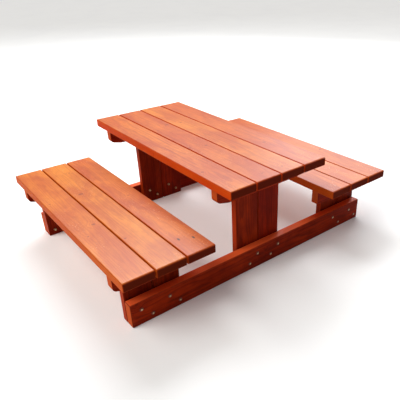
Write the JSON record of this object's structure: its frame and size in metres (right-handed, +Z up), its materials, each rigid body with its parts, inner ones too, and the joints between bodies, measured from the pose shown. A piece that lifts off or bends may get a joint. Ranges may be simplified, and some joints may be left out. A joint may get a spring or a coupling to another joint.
{
  "type": "picnic table",
  "caption": "Timber picnic table with an attached plank bench along each side, on two end frames with ground runners, paired plank legs and bolted bearers.",
  "frame": {"origin": "on the ground, centre of the table's footprint", "axes": "+X across the table from the left bench to the right bench, +Y along the table's length from the near end to the far end, +Z up"},
  "size_m": [1.661, 1.34, 0.56],
  "materials": {
    "table_wood": "red-orange translucent stain, satin gloss, softwood grain with knots",
    "bench_wood": "red-orange translucent stain, satin gloss, softwood grain with knots",
    "frame_wood": "same stain in more coats, darker red-brown, satin",
    "zinc_steel": "dull galvanised zinc"
  },
  "bodies": {
    "root": {"bench_leg_far_left_inner": "frame_wood", "bench_leg_far_left_outer": "frame_wood", "bench_leg_far_right_inner": "frame_wood", "bench_leg_far_right_outer": "frame_wood", "bench_leg_near_left_inner": "frame_wood", "bench_leg_near_left_outer": "frame_wood", "bench_leg_near_right_inner": "frame_wood", "bench_leg_near_right_outer": "frame_wood", "board_screws_far": "zinc_steel", "board_screws_near": "zinc_steel", "carriage_bolts_far": "zinc_steel", "carriage_bolts_near": "zinc_steel", "left_bench_bearer_far": "frame_wood", "left_bench_bearer_near": "frame_wood", "left_bench_board_1": "bench_wood", "left_bench_board_2": "bench_wood", "left_bench_board_3": "bench_wood", "nuts_far": "zinc_steel", "nuts_near": "zinc_steel", "right_bench_bearer_far": "frame_wood", "right_bench_bearer_near": "frame_wood", "right_bench_board_1": "bench_wood", "right_bench_board_2": "bench_wood", "right_bench_board_3": "bench_wood", "runner_far": "frame_wood", "runner_near": "frame_wood", "table_bearer_far": "frame_wood", "table_bearer_near": "frame_wood", "table_board_1": "table_wood", "table_board_2": "table_wood", "table_board_3": "table_wood", "table_board_4": "table_wood", "table_leg_far_left": "frame_wood", "table_leg_far_right": "frame_wood", "table_leg_near_left": "frame_wood", "table_leg_near_right": "frame_wood", "washers_far": "zinc_steel", "washers_near": "zinc_steel"}
  },
  "joints": []
}
